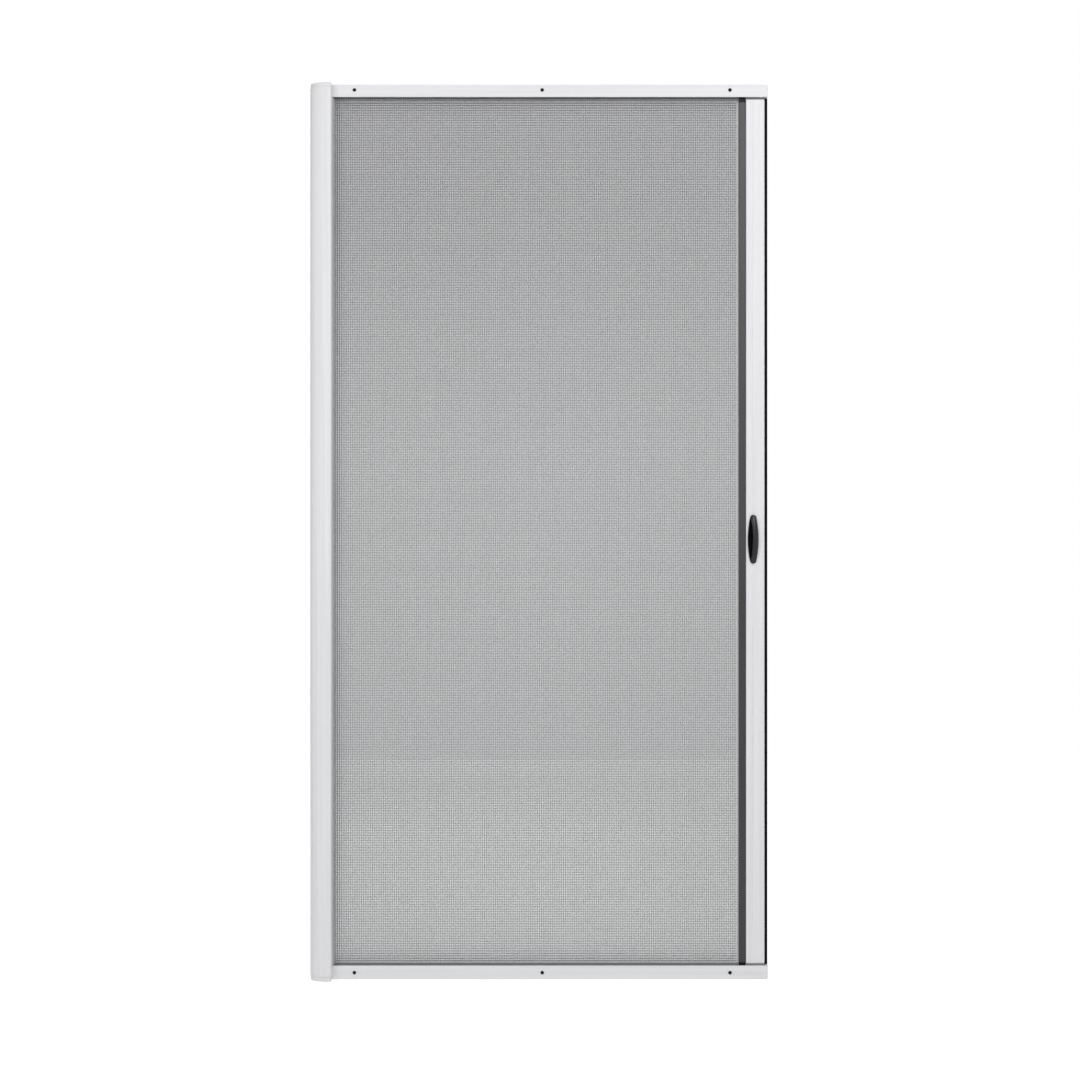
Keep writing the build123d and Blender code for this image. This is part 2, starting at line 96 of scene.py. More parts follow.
def number(label, value, description):
    """A plain number that a user can change."""
    return FloatProperty(name=label, description=description, default=value, min=0)


def wattage(label, watts, description):
    """A lamp's power, which a user can change."""
    return FloatProperty(name=label, description=description, default=watts, unit="POWER", min=0)


def position(label, metres, description):
    """A point that a user can move."""
    return FloatVectorProperty(
        name=label, description=description, default=metres, subtype="TRANSLATION", size=3,
    )


class ScreenDoorFinishes(bpy.types.PropertyGroup):
    """Colours of the door's coatings, mouldings and cloth."""

    coat: colour("Powder coat", "#EDEDEF", "White powder coat on the aluminium extrusions")
    caps: colour("Moulded white", "#EAEAEA", "White ABS of the end caps and plugs")
    pull: colour("Hand pull", "#0B0B0C", "Black ABS of the hand pulls")
    glide: colour("Glide", "#101112", "Black acetal of the glides")
    retainer: colour("Retainer", "#2B2B2F", "Charcoal vinyl of the screen retainer")
    seal: colour("Seal", "#0C0B10", "Black rubber of the magnetic closing edge and the spline")
    # The pile's near-white is partly its own colour and partly painted light: it is drawn paler so that
    # it shows light grey in the shade inside the tracks.
    pile: colour("Pile", "#F0F0F0", "White polypropylene pile of the tracks")
    brush: colour("Brush", "#C4C5C6", "Light grey polypropylene brushes of the housing's slot")
    pile_back: colour("Pile backing", "#B9BABB", "Woven backing of the pile")
    # The yarn's darker colour high on the door is painted shade; lower down it has its own lighter
    # colour.
    yarn: colour("Screen yarn", "#626366", "Grey vinyl round the glass yarn, high on the door")
    yarn_light: colour("Screen yarn, light", "#87898B", "The same vinyl lower on the door")
    tape: colour("Edge tape", "#BEBFBD", "Light tape along the screen's free edge")
    tube: colour("Roller tube", "#C9CACC", "Mill-finished aluminium of the roller")
    roller_plug: colour("Roller plug", "#6B6C6E", "Grey nylon of the roller's plugs")
    steel: colour("Steel", "#B9BABC", "Zinc-plated steel of the roller's pins")
    screw: colour("Screw", "#0B0B0C", "Black enamel on the track screws")


class ScreenDoorCloth(bpy.types.PropertyGroup):
    """The screen's yarns and edge tape."""

    warp_pitch: length("Warp pitch", INCH / 17, "Spacing of the upright yarns, 17 to the inch")
    weft_pitch: length("Weft pitch", INCH / 16, "Spacing of the level yarns, 16 to the inch")
    yarn_width: length("Yarn width", 0.72 * MM, "Width of a coated yarn as drawn")
    yarn_depth: length("Yarn depth", 0.32 * MM, "Thickness of an upright yarn")
    beat_across: length("Beat across", 5.0 * MM, "From one close group of upright yarns to the next")
    beat_down: length("Beat down", 5.6 * MM, "From one close group of level yarns to the next")
    crowding: number("Crowding", 0.27, "How much fuller the closest yarns are")
    drift: length("Drift", 0.2 * MM, "How far a yarn shifts towards the closest ones")
    stray: length("Stray", 0.04 * MM, "How far a yarn strays from its even place")
    # Yarns drawn fuller beside the frame stand in for the shade there: painted shade.
    edge_shade_gain: number("Edge fullness", 0.75, "Added fullness of yarns at the frame")
    edge_reach_across: length("Edge reach across", 12 * MM, "Reach of the fullness beside the housing")
    edge_reach_down: length("Edge reach down", 18 * MM, "Reach of the fullness beside the tracks")
    tape_width: length("Edge tape", 4.0 * MM, "Width of the tape along the free edge")
    bends: IntProperty(name="Bends", description="Straight runs of one yarn", default=9, min=1)


class ScreenDoorPile(bpy.types.PropertyGroup):
    """The pile of the tracks and of the housing's slot."""

    tuft_spacing: length("Tuft spacing", 1.1 * MM, "Distance between tufts along a strip")
    tuft_width: length("Tuft width", 0.9 * MM, "Width of a tuft at its root")
    tuft_lean: length("Tuft lean", 0.5 * MM, "Room that a tuft's tip has to stray in")
    flare: number("Flare", 2.2, "How many times wider a track's pile is at its tips")
    rows: IntProperty(name="Rows", description="Rows of tufts across a strip", default=4, min=1)


class ScreenDoorHardware(bpy.types.PropertyGroup):
    """Number 8 pan-head screws that fasten the tracks."""

    head_radius: length("Head radius", 4.0 * MM, "Radius of a pan head")
    head_height: length("Head height", 2.4 * MM, "Height of a pan head")
    recess_width: length("Recess width", 1.1 * MM, "Width of the cross recess")
    recess_depth: length("Recess depth", 1.5 * MM, "Depth of the cross recess")
    shank_radius: length("Shank radius", 2.0 * MM, "Radius of the shank in its hole")


class ScreenDoorStage(bpy.types.PropertyGroup):
    """Camera, lamps and floor."""

    distance: length("Camera distance", 3.75, "From the tracks' faces to the camera")
    field: length("Field", 2.4527, "Width of the picture at the tracks' faces")
    eye_height: length("Eye height", 0.998, "Height of the camera above the sill")
    floor_drop: length("Floor drop", 0.3, "From the sill to the floor")
    camera_shift: length("Camera shift", 0.002, "How far right of the door's middle the camera is")
    key_power: wattage("Key lamp", 44, "Power of the lamp high on the right")
    key_place: position("Key lamp's place", (1.4, -2.9, 2.7), "Where the lamp on the right hangs")
    fill_power: wattage("Fill lamp", 33, "Power of the lamp on the left")
    fill_place: position("Fill lamp's place", (-1.9, -3.2, 1.7), "Where the lamp on the left hangs")
    back_power: wattage("Back lamp", 48, "Power of the lamp behind the door")
    back_place: position("Back lamp's place", (-0.6, 3.4, 2.8), "Where the lamp behind hangs")
    ambient: number("Ambient", 0.36, "Strength of the even light")
    near_glow: number("Floor glow", 0.52, "White that the camera and reflections see on the floor")
    far_glow: number("Far floor glow", 0.7, "The same, on the floor far from the door")
    floor: colour("Floor", "#F7F7F7", "Plain pale floor")


GROUPS = {
    "screen_door_finishes": ScreenDoorFinishes,
    "screen_door_cloth": ScreenDoorCloth,
    "screen_door_pile": ScreenDoorPile,
    "screen_door_hardware": ScreenDoorHardware,
    "screen_door_stage": ScreenDoorStage,
}


def add_node(tree, kind, inputs=None, **options):
    """Add one shader node; inputs gives its sockets, by name or number, values or other outputs."""
    made = tree.nodes.new(kind)
    for name, value in options.items():
        setattr(made, name, value)
    for socket, value in (inputs or {}).items():
        if isinstance(value, bpy.types.NodeSocket):
            tree.links.new(value, made.inputs[socket])
        else:
            made.inputs[socket].default_value = value
    return made


def opaque(rgb, factor=1.0):
    """A colour socket's value, brightened or darkened by factor."""
    return (*(min(1.0, v * factor) for v in rgb), 1.0)


def new_material(name):
    """An empty material with its node tree and its object coordinates."""
    material = bpy.data.materials.new(name)
    material.use_nodes = True
    tree = material.node_tree
    tree.nodes.clear()
    return material, tree, add_node(tree, "ShaderNodeTexCoord").outputs["Object"]


def shade(tree, inputs):
    """End a material's tree with its shader."""
    shader = add_node(tree, "ShaderNodeBsdfPrincipled", inputs)
    add_node(tree, "ShaderNodeOutputMaterial", {"Surface": shader.outputs["BSDF"]})


def grained_finish(name, rgb, shades, cloud, grain, roughness, relief, hollow=None, **uniform):
    """A finish made of two noise patterns: a broad cloud of shade over a fine grain.

    cloud and grain are each a size in metres and how far it is drawn out along x, y and z. shades is
    the range of the colour, roughness the range of the gloss and relief the grain's height in metres.
    hollow is the middle and radius of a round area on XZ, and the specular levels in and round it. The
    low level in it paints the area's shade.
    uniform holds the shader's values that are the same all over.
    """
    material, tree, place = new_material(name)
    patterns = []
    for size, drawn_out in (cloud, grain):
        scale = [1 / (size * factor) for factor in drawn_out]
        placed = add_node(tree, "ShaderNodeMapping", {"Vector": place, "Scale": scale})
        noise = add_node(tree, "ShaderNodeTexNoise", {"Vector": placed.outputs[0], "Scale": 1.0})
        patterns.append(noise.outputs["Fac"])
    # The two shades meet a little more sharply than the grain's light and dark do.
    steps = {"Value": patterns[0], "From Min": 0.35, "From Max": 0.65}
    shares = {
        MIX_SHARE: add_node(tree, "ShaderNodeMapRange", steps).outputs[0],
        MIX_FIRST: opaque(rgb, shades[0]), MIX_SECOND: opaque(rgb, shades[1]),
    }
    mix = add_node(tree, "ShaderNodeMix", shares, data_type="RGBA").outputs[MIX_RESULT]
    steps = {
        "Value": patterns[1], "From Min": NOISE_LOW, "From Max": NOISE_HIGH,
        "To Min": roughness[0], "To Max": roughness[1],
    }
    rough = add_node(tree, "ShaderNodeMapRange", steps)
    raised = {"Height": patterns[1], "Strength": 0.4, "Distance": relief}
    bump = add_node(tree, "ShaderNodeBump", raised)
    made = {"Base Color": mix, "Roughness": rough.outputs[0], "Normal": bump.outputs[0]}
    # Painted shade: inside the hollow the specular level drops to its low value.
    if hollow:
        middle, radius, painted_shade_level, shiny = hollow
        edge_width = 0.5 * MM
        flat = add_node(tree, "ShaderNodeMapping", {"Vector": place, "Scale": (1, 0, 1)}).outputs[0]
        away = add_node(tree, "ShaderNodeVectorMath", {0: flat, 1: middle}, operation="DISTANCE")
        steps = {
            "Value": away.outputs["Value"], "From Min": radius, "From Max": radius + edge_width,
            "To Min": painted_shade_level, "To Max": shiny,
        }
        made["Specular IOR Level"] = add_node(tree, "ShaderNodeMapRange", steps).outputs[0]
    shade(tree, made | {socket.replace("_", " "): value for socket, value in uniform.items()})
    return material


def ribbed_tape(name, rgb, shades, rib):
    """Close cloth or tape: soft and matt, with slanting ribs about as far apart as its yarns."""
    material, tree, place = new_material(name)
    # A wave with a scale of 1 repeats 20 times in two pi metres, or 17 times where its bands slant.
    scale = math.tau / 20 / rib
    wave = {"Vector": place, "Scale": scale, "Distortion": 0.6, "Detail": 1.0}
    ribs = add_node(tree, "ShaderNodeTexWave", wave, bands_direction="DIAGONAL").outputs["Fac"]
    shares = {MIX_SHARE: ribs, MIX_FIRST: opaque(rgb, shades[0]), MIX_SECOND: opaque(rgb, shades[1])}
    mix = add_node(tree, "ShaderNodeMix", shares, data_type="RGBA").outputs[MIX_RESULT]
    bump = add_node(tree, "ShaderNodeBump", {"Height": ribs, "Strength": 0.6, "Distance": 0.1 * MM})
    shade(tree, {
        "Base Color": mix, "Normal": bump.outputs[0], "Roughness": 0.8, "IOR": 1.49,
        "Sheen Weight": 0.15,
    })
    return material


def coated_yarn(name, dark, light, drawn_out, height):
    """Glass yarn drawn through liquid vinyl and baked: satin grey, with painted shade that darkens it
    high on the door.

    drawn_out stretches the slubs along x, y and z, and height is the screen's own.
    """
    material, tree, place = new_material(name)
    # A slub is as wide as two yarns and their gaps, 3 mm, and runs for 60 times that along them.
    slub_width = 3.0 * MM
    scale = [1 / (slub_width * factor) for factor in drawn_out]
    placed = add_node(tree, "ShaderNodeMapping", {"Vector": place, "Scale": scale})
    noise = {"Vector": placed.outputs[0], "Scale": 1.0}
    slub = add_node(tree, "ShaderNodeTexNoise", noise).outputs[0]
    level = add_node(tree, "ShaderNodeSeparateXYZ", {"Vector": place}).outputs["Z"]
    # Painted shade: between 60 % and 88 % of the screen's height the yarn's colour darkens to the shaded
    # one.
    unshaded_up_to, shaded_from = 0.6 * height, 0.88 * height
    streaks = 0.15
    steps = {
        "Value": level, "From Min": unshaded_up_to, "From Max": shaded_from,
        "To Min": 1 - streaks, "To Max": streaks,
    }
    painted_shade = add_node(tree, "ShaderNodeMapRange", steps).outputs[0]
    spread = {"Value": slub, "From Min": NOISE_LOW, "From Max": NOISE_HIGH}
    steps = spread | {"To Min": -streaks, "To Max": streaks}
    streak = add_node(tree, "ShaderNodeMapRange", steps).outputs[0]
    terms = {0: painted_shade, 1: streak}
    share = add_node(tree, "ShaderNodeMath", terms, operation="ADD", use_clamp=True)
    shares = {MIX_SHARE: share.outputs[0], MIX_FIRST: opaque(dark), MIX_SECOND: opaque(light)}
    mix = add_node(tree, "ShaderNodeMix", shares, data_type="RGBA").outputs[MIX_RESULT]
    rough = add_node(tree, "ShaderNodeMapRange", spread | {"To Min": 0.5, "To Max": 0.65})
    shade(tree, {
        "Base Color": mix, "Roughness": rough.outputs[0], "IOR": 1.53, "Specular IOR Level": 0.3,
    })
    return material


def coat_nodes(material, *names):
    """Give CAD nodes a finish."""
    for name in names:
        slots = frame["nodes"][name].data.materials
        slots.clear()
        slots.append(material)


def new_piece(name, mesh, body, slot, *materials):
    """Link a mesh as a piece that rides on a body. slot is not used."""
    piece = bpy.data.objects.new(name, mesh)
    bpy.context.scene.collection.objects.link(piece)
    for material in materials:
        mesh.materials.append(material)
    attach(piece, body)
    return piece


def prism_mesh(name, rings):
    """Many closed bars in one mesh; rings has the shape bars, rings, corners, 3."""
    bars, count, corners, _ = rings.shape
    first = np.arange(bars)[:, None, None, None] * count * corners
    ring = np.arange(count - 1)[None, :, None, None] * corners
    corner = np.arange(corners)[None, None, :, None]
    following = (corner + 1) % corners
    sides = np.concatenate(
        [first + ring + corner, first + ring + following,
         first + ring + corners + following, first + ring + corners + corner], axis=3,
    ).reshape(-1, 4)
    starts = np.arange(bars)[:, None] * count * corners
    lows = starts + np.arange(corners)[None, ::-1]
    highs = starts + (count - 1) * corners + np.arange(corners)[None, :]
    faces = sides.tolist() + lows.tolist() + highs.tolist()
    mesh = bpy.data.meshes.new(name)
    mesh.from_pydata(rings.reshape(-1, 3).tolist(), [], faces)
    mesh.validate()
    mesh.update()
    return mesh


def box_mesh(name, low, high):
    """A box between two corners."""
    outline = ((low[0], low[1]), (high[0], low[1]), (high[0], high[1]), (low[0], high[1]))
    rings = [[[(x, y, z) for x, y in outline] for z in (low[2], high[2])]]
    return prism_mesh(name, np.array(rings))


def turned_mesh(name, outline, facets):
    """A round body turned about Y; outline gives radius and height from end to end of its axis."""
    (_, start), *rims, (_, end) = outline
    angles = [math.tau * facet / facets for facet in range(facets)]
    points = [(0, start, 0)]
    for radius, height in rims:
        points += [(radius * math.cos(angle), height, radius * math.sin(angle)) for angle in angles]
    points.append((0, end, 0))
    last = len(points) - 1
    faces = []
    for here in range(facets):
        following = (here + 1) % facets
        faces.append((0, 1 + here, 1 + following))
        for low in range(1, last - facets, facets):
            high = low + facets
            faces.append((low + here, high + here, high + following, low + following))
        faces.append((last - facets + here, last, last - facets + following))
    mesh = bpy.data.meshes.new(name)
    mesh.from_pydata(points, [], faces)
    mesh.update()
    return mesh


def joined_mesh(name, *parts):
    """One mesh of several, each with the material slot of its own number; the parts are used up."""
    whole = bmesh.new()
    for slot_number, part in enumerate(parts):
        faces_before = len(whole.faces)
        whole.from_mesh(part)
        whole.faces.ensure_lookup_table()
        for face in whole.faces[faces_before:]:
            face.material_index = slot_number
        bpy.data.meshes.remove(part)
    mesh = bpy.data.meshes.new(name)
    whole.to_mesh(mesh)
    whole.free()
    return mesh


def settings(context, key):
    """One of the property groups on the scene."""
    return getattr(context.scene, f"screen_door_{key}")


class CoatExtrusions(bpy.types.Operator):
    """Powder-coat the housing, the tracks and the pull bar"""

    bl_idname = "screen_door.coat_extrusions"
    bl_label = "Extrusions"

    def execute(self, context):
        # Polyester powder coat on extruded aluminium: an even satin white, with the faint orange peel
        # of the melted powder. The die leaves bands along the length that only just show. The peel is
        # 1.5 mm across and is drawn at twice that, so that it shows.
        rgb = settings(context, "finishes").coat
        for direction, drawn_out, names in (
            ("upright", (1, 1, 80), ("housing", "pull_bar")),
            ("level", (80, 1, 1), ("top_track", "bottom_track")),
        ):
            coat = grained_finish(
                f"powder_coated_aluminium_{direction}", rgb, shades=(0.965, 1.02),
                cloud=(7 * MM, drawn_out), grain=(3 * MM, (1, 1, 1)),
                roughness=(0.4, 0.48), relief=0.02 * MM, IOR=1.5, Specular_IOR_Level=0.3,
            )
            coat_nodes(coat, *names)
        return {"FINISHED"}


class FinishMouldings(bpy.types.Operator):
    """Finish the white caps and plugs, the hand pulls, the glides and the roller's plugs"""

    bl_idname = "screen_door.finish_mouldings"
    bl_label = "Mouldings"

    def execute(self, context):
        finishes = settings(context, "finishes")
        # The grain of a spark-eroded mould is about 0.1 mm across. It is drawn at 0.5 to 0.8 mm here,
        # so that it shows.
        even = (1, 1, 1)
        # Injection-moulded ABS: almost the same white as the coat, but flatter, so that the caps and
        # plugs part from the metal at their seams.
        white = grained_finish(
            "abs_moulded_white", finishes.caps, shades=(0.97, 1.02), cloud=(40 * MM, even),
            grain=(0.5 * MM, even), roughness=(0.44, 0.56), relief=0.02 * MM, IOR=1.54,
        )
        coat_nodes(white, "housing_top_cap", "housing_bottom_cap", "bar_top_cap", "bar_bottom_cap")
        coat_nodes(white, "top_track_end_plug", "bottom_track_end_plug")
        # Injection-moulded ABS with a soft sheen on the dome. In the finger hollow beside it the
        # reflection is nearly taken away: painted shade that keeps the hollow dead black. The ridge
        # between the two is an arc.
        low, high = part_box("front_handle")
        ridge_half_length = 49 * MM
        ridge_bow = 5.7 * MM
        ridge_offset = 0.8 * MM
        radius = (ridge_half_length**2 + ridge_bow**2) / (2 * ridge_bow)
        middle = ((low.x + high.x) / 2 - ridge_offset - radius, 0, (low.z + high.z) / 2)
        painted_shade_gloss, dome_gloss = 0.02, 0.36
        pull = grained_finish(
            "abs_moulded_black", finishes.pull, shades=(0.8, 1.2), cloud=(25 * MM, even),
            grain=(0.6 * MM, even), roughness=(0.26, 0.32), relief=0.01 * MM,
            hollow=(middle, radius, painted_shade_gloss, dome_gloss), IOR=1.54,
        )
        coat_nodes(pull, "front_handle", "rear_handle")
        # Injection-moulded acetal: slippery, slightly waxy black.
        acetal = grained_finish(
            "acetal_moulded_black", finishes.glide, shades=(0.85, 1.15), cloud=(12 * MM, even),
            grain=(0.8 * MM, even), roughness=(0.35, 0.45), relief=0.01 * MM, IOR=1.48,
            Specular_IOR_Level=0.16,
        )
        coat_nodes(acetal, "top_glide", "bottom_glide")
        # Injection-moulded nylon: matt mid grey.
        nylon = grained_finish(
            "nylon_moulded_grey", finishes.roller_plug, shades=(0.93, 1.07), cloud=(15 * MM, even),
            grain=(0.6 * MM, even), roughness=(0.45, 0.6), relief=0.02 * MM, IOR=1.53,
        )
        coat_nodes(nylon, "roller_top_plug", "roller_bottom_plug")
        return {"FINISHED"}


class FinishEdges(bpy.types.Operator):
    """Finish the screen retainer, its spline and the magnetic seal"""

    bl_idname = "screen_door.finish_edges"
    bl_label = "Retainer and seal"

    def execute(self, context):
        finishes = settings(context, "finishes")
        # Extruded vinyl: charcoal satin, with flow lines 0.7 mm apart along its height.
        vinyl = grained_finish(
            "vinyl_extruded_charcoal", finishes.retainer, shades=(0.88, 1.12),
            cloud=(60 * MM, (1, 1, 3)), grain=(0.7 * MM, (1, 1, 400)),
            roughness=(0.36, 0.48), relief=0.04 * MM, IOR=1.53, Specular_IOR_Level=0.46,
        )
        coat_nodes(vinyl, "screen_retainer")
        # Magnetic rubber, extruded: dead black and matt, with a faint mottle of its filler, which is
        # drawn far coarser than it is. The spline is rubber cord with the same look.
        rubber = grained_finish(
            "magnetic_rubber_extruded_black", finishes.seal, shades=(0.7, 1.4),
            cloud=(9 * MM, (1, 1, 4)), grain=(2 * MM, (1, 1, 6)),
            roughness=(0.55, 0.7), relief=0.05 * MM, IOR=1.52, Specular_IOR_Level=0.06,
        )
        coat_nodes(rubber, "magnetic_seal", "screen_spline")
        return {"FINISHED"}


class FinishRoller(bpy.types.Operator):
    """Finish the roller tube and its pins"""

    bl_idname = "screen_door.finish_roller"
    bl_label = "Roller"

    def execute(self, context):
        finishes = settings(context, "finishes")
        # Extruded aluminium, left as it came from the die: soft grey metal, with lines 0.4 mm apart
        # along its length.
        mill = grained_finish(
            "aluminium_mill_finish", finishes.tube, shades=(0.9, 1.05), cloud=(20 * MM, (1, 1, 20)),
            grain=(0.4 * MM, (1, 1, 300)), roughness=(0.3, 0.46), relief=0.02 * MM, Metallic=1.0,
        )
        coat_nodes(mill, "roller_tube")
        # Turned steel, zinc-plated: brighter, with turning lines 0.3 mm apart round the pin.
        zinc = grained_finish(
            "steel_zinc_plated", finishes.steel, shades=(0.85, 1.05), cloud=(8 * MM, (1, 1, 1)),
            grain=(0.3 * MM, (30, 30, 1)), roughness=(0.22, 0.4), relief=0.02 * MM, Metallic=1.0,
        )
        coat_nodes(zinc, "roller_top_pin", "roller_bottom_pin")
        return {"FINISHED"}


class WeaveScreen(bpy.types.Operator):
    """Weave the screen cloth, its edge tape and the turns left on the roller"""

    bl_idname = "screen_door.weave_screen"
    bl_label = "Screen cloth"

    def execute(self, context):
        cloth = settings(context, "cloth")
        finishes = settings(context, "finishes")
        low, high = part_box("screen_mesh")
        retainer_low, retainer_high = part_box("screen_retainer")
        middle_y = (low.y + high.y) / 2
        free_x = retainer_low.x
        lips = (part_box("bottom_track")[1].z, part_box("top_track")[0].z)
        # Level yarns are fuller beside both tracks, and upright ones only beside the housing, so their
        # other edge lies a metre outside the cloth. The fuller yarns darken the cloth there as painted
        # shade beside the frame.
        far_away = free_x + 1
        sides = (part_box("housing")[1].x, far_away)
        warp = self.yarns(cloth, True, (low.x, free_x), (low.z, high.z), middle_y, sides)
        weft = self.yarns(cloth, False, (low.z, high.z), (low.x, free_x), middle_y, lips)
        # Vinyl-coated glass yarn, woven and heat-set: a fine grey check that daylight shows through.
        colours = (finishes.yarn, finishes.yarn_light)
        warp_finish = coated_yarn("vinyl_yarn_warp", *colours, (1, 1, 60), high.z)
        weft_finish = coated_yarn("vinyl_yarn_weft", *colours, (60, 1, 1), high.z)
        both_sets = prism_mesh("screen_warp", warp), prism_mesh("screen_weft", weft)
        mesh = joined_mesh("screen_cloth", *both_sets)
        screen = new_piece("screen_cloth", mesh, "frame", "screen_cloth", warp_finish, weft_finish)
        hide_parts("screen_mesh")
        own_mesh(screen)
        self.tape(cloth, finishes, free_x, middle_y, retainer_low.z, retainer_high.z)
        # The turns left on the roller lie close, so they show only ribs at the level yarns' spacing.
        wound = ribbed_tape("vinyl_yarn_wound", finishes.yarn, (0.7, 1.3), cloth.weft_pitch)
        coat_nodes(wound, "wound_screen")
        return {"FINISHED"}

    def yarns(self, cloth, upright, reach, run, middle_y, frame_edges):
        """Rings of one set of yarns, set out over reach and running along run.

        The real yarns are too fine to show at the size of a door. Every third or so is drawn a
        little fuller and closer to its neighbours, so that the weave shows as a fine check. Beside
        frame_edges, inside the opening, all are fuller, which paints the shade beside the frame.
        """
        seed = 7 if upright else 11
        random = np.random.default_rng(seed)
        # How far the groups' rhythm wanders at each yarn, in radians, and the widest that a yarn gets,
        # as a share of its pitch.
        unevenness = 0.02
        fullest = 0.95
        # The level yarns are a little thinner, so that no face of one set lies in a face of the other.
        thickness = cloth.yarn_depth if upright else 0.85 * cloth.yarn_depth
        pitch = cloth.warp_pitch if upright else cloth.weft_pitch
        beat = cloth.beat_across if upright else cloth.beat_down
        edge_reach = cloth.edge_reach_across if upright else cloth.edge_reach_down
        count = int((reach[1] - reach[0]) / pitch)
        rings = cloth.bends + 1
        even = reach[0] + (np.arange(count) + 0.5) * (reach[1] - reach[0]) / count
        phase = even / beat * math.tau + np.cumsum(random.normal(0, unevenness, count))
        edge = np.min([np.abs(even - frame_edges[0]), np.abs(even - frame_edges[1])], axis=0)
        outside = (even < frame_edges[0]) | (even > frame_edges[1])
        # Painted shade: yarns near the frame are drawn fuller, which darkens the cloth there.
        fullness = 1 + cloth.edge_shade_gain * np.where(outside, 0, np.exp(-edge / edge_reach))
        fullness *= 1 + cloth.crowding * np.cos(phase)
        half_width = np.minimum(cloth.yarn_width * fullness, fullest * pitch)[:, None] / 2
        stray = np.clip(random.normal(0, cloth.stray / 2, (count, rings)), -cloth.stray, cloth.stray)
        across = (even - cloth.drift * np.sin(phase))[:, None] + stray
        across = np.clip(across, reach[0] + half_width, reach[1] - half_width)
        along = np.linspace(*run, rings)[None, :].repeat(count, 0)
        corners = []
        for side, face in ((-1, -1), (1, -1), (1, 1), (-1, 1)):
            level = across + side * half_width
            depth = np.full_like(level, middle_y + face * thickness / 2)
            corner = (level, depth, along) if upright else (along, depth, level)
            corners.append(np.stack(corner, axis=2))
        points = np.stack(corners, axis=2)
        # A level yarn's corners go the other way round, so that its faces look outwards.
        return points if upright else points[:, :, ::-1]

    def tape(self, cloth, finishes, free_x, middle_y, foot, head):
        """Light tape that hems the cloth beside its retainer."""
        # The hem is as thick as two yarns.
        low = (free_x - cloth.tape_width, middle_y - cloth.yarn_depth, foot)
        mesh = box_mesh("screen_edge_tape", low, (free_x, middle_y + cloth.yarn_depth, head))
        # Woven tape, hot-pressed on to the cloth: pale and soft beside the dark retainer.
        finish = ribbed_tape("polyester_tape_woven", finishes.tape, (0.82, 1.12), 0.8 * MM)
        new_piece("screen_edge_tape", mesh, "bar", "screen_cloth", finish)


